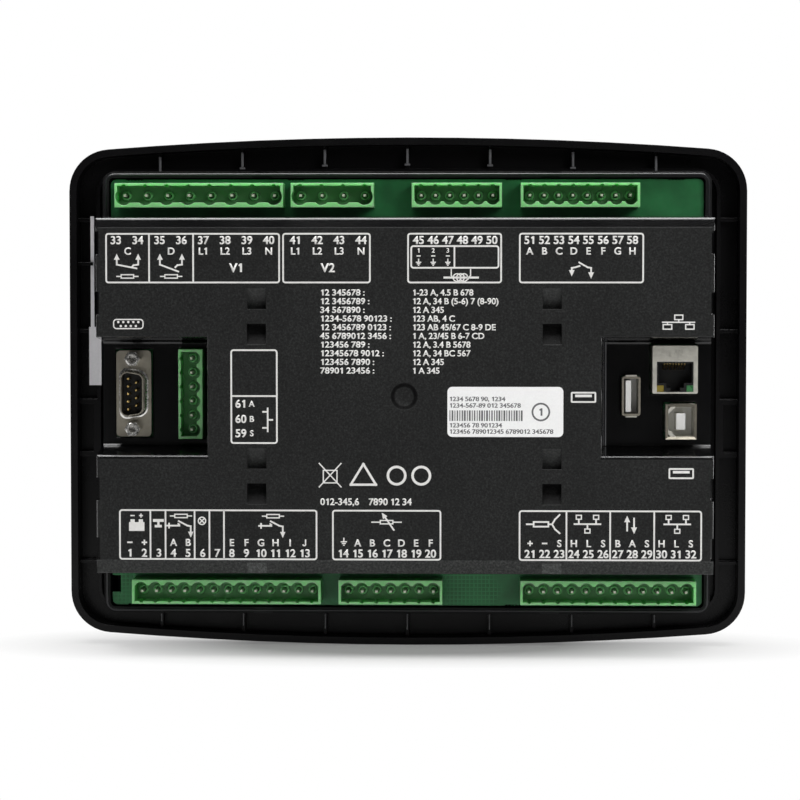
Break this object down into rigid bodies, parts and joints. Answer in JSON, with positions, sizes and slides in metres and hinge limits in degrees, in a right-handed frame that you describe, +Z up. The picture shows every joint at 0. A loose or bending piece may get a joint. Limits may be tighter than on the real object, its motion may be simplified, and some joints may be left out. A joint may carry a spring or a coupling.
{
  "type": "genset controller",
  "caption": "Panel-mounted controller for an engine generator set: flanged fascia with push keys and a display, rear case with pluggable terminal sockets and data ports.",
  "frame": {"origin": "centre of the panel cut-out on the panel's front surface, where the rim seats", "axes": "+Z up, -Y towards the operator, +Y towards the wiring behind the panel, +X to the operator's right"},
  "size_m": [0.245, 0.0512, 0.184],
  "materials": {
    "fascia_plastic": "satin",
    "case_plastic": "satin",
    "clear_lens": "gloss",
    "display_metal": "satin",
    "display_glass": "gloss",
    "board_green": "gloss",
    "black_plastic": "matte",
    "red_lamp": "gloss",
    "brass": "satin",
    "zinc_steel": "satin",
    "tinned_pin": "satin",
    "nickel_shell": "satin",
    "gold_contact": "gloss",
    "white_plastic": "satin",
    "yellow_lamp": "gloss",
    "green_lamp": "gloss",
    "relay_blue": "gloss",
    "capacitor_sleeve": "gloss",
    "label_white": "satin",
    "socket_green": "satin",
    "key_red": "satin",
    "key_green": "satin",
    "key_grey": "satin"
  },
  "bodies": {
    "controller": {"front_fascia": "fascia_plastic", "display_window": "clear_lens", "display_frame": "display_metal", "display_glass": "display_glass", "display_board": "board_green", "key_switches": "black_plastic", "indicator_lamps": "red_lamp", "main_board": "board_green", "board_link": "black_plastic", "board_spacers": "brass", "board_screws": "zinc_steel", "pins_top": "tinned_pin", "pins_bottom": "tinned_pin", "pins_side": "tinned_pin", "serial_shell": "nickel_shell", "serial_insert": "black_plastic", "serial_pins": "gold_contact", "serial_jackscrews": "zinc_steel", "host_shell": "nickel_shell", "host_tongue": "white_plastic", "device_shell": "nickel_shell", "device_tongue": "white_plastic", "lan_shield": "nickel_shell", "lan_insert": "black_plastic", "lan_contacts": "gold_contact", "lan_lamp_yellow": "yellow_lamp", "lan_lamp_green": "green_lamp", "relays": "relay_blue", "current_transformers": "black_plastic", "capacitors": "capacitor_sleeve", "processor": "black_plastic", "coin_cell": "zinc_steel", "rear_case": "case_plastic", "rating_label": "label_white", "legend_card": "label_white", "socket_top_1": "socket_green", "socket_top_2": "socket_green", "socket_top_3": "socket_green", "socket_top_4": "socket_green", "socket_bottom_1": "socket_green", "socket_bottom_2": "socket_green", "socket_bottom_3": "socket_green", "socket_side": "socket_green"},
    "key_stop": {"key_stop": "key_red"},
    "key_manual": {"key_manual": "key_grey"},
    "key_test": {"key_test": "key_grey"},
    "key_auto": {"key_auto": "key_grey"},
    "key_mute": {"key_mute": "key_grey"},
    "key_start": {"key_start": "key_green"},
    "key_up": {"key_up": "key_grey"},
    "key_down": {"key_down": "key_grey"},
    "key_left": {"key_left": "key_grey"},
    "key_right": {"key_right": "key_grey"},
    "key_enter": {"key_enter": "key_grey"}
  },
  "joints": [
    {"name": "key_stop_press", "type": "slide", "parent": "controller", "child": "key_stop", "axis": [0, 1, 0], "range_m": [0, 0.0006], "stiffness_N_per_m": 2000, "springref_m": -0.0006},
    {"name": "key_manual_press", "type": "slide", "parent": "controller", "child": "key_manual", "axis": [0, 1, 0], "range_m": [0, 0.0006], "stiffness_N_per_m": 2000, "springref_m": -0.0006},
    {"name": "key_test_press", "type": "slide", "parent": "controller", "child": "key_test", "axis": [0, 1, 0], "range_m": [0, 0.0006], "stiffness_N_per_m": 2000, "springref_m": -0.0006},
    {"name": "key_auto_press", "type": "slide", "parent": "controller", "child": "key_auto", "axis": [0, 1, 0], "range_m": [0, 0.0006], "stiffness_N_per_m": 2000, "springref_m": -0.0006},
    {"name": "key_mute_press", "type": "slide", "parent": "controller", "child": "key_mute", "axis": [0, 1, 0], "range_m": [0, 0.0006], "stiffness_N_per_m": 2000, "springref_m": -0.0006},
    {"name": "key_start_press", "type": "slide", "parent": "controller", "child": "key_start", "axis": [0, 1, 0], "range_m": [0, 0.0006], "stiffness_N_per_m": 2000, "springref_m": -0.0006},
    {"name": "key_up_press", "type": "slide", "parent": "controller", "child": "key_up", "axis": [0, 1, 0], "range_m": [0, 0.0006], "stiffness_N_per_m": 2000, "springref_m": -0.0006},
    {"name": "key_down_press", "type": "slide", "parent": "controller", "child": "key_down", "axis": [0, 1, 0], "range_m": [0, 0.0006], "stiffness_N_per_m": 2000, "springref_m": -0.0006},
    {"name": "key_left_press", "type": "slide", "parent": "controller", "child": "key_left", "axis": [0, 1, 0], "range_m": [0, 0.0006], "stiffness_N_per_m": 2000, "springref_m": -0.0006},
    {"name": "key_right_press", "type": "slide", "parent": "controller", "child": "key_right", "axis": [0, 1, 0], "range_m": [0, 0.0006], "stiffness_N_per_m": 2000, "springref_m": -0.0006},
    {"name": "key_enter_press", "type": "slide", "parent": "controller", "child": "key_enter", "axis": [0, 1, 0], "range_m": [0, 0.0006], "stiffness_N_per_m": 2000, "springref_m": -0.0006}
  ]
}
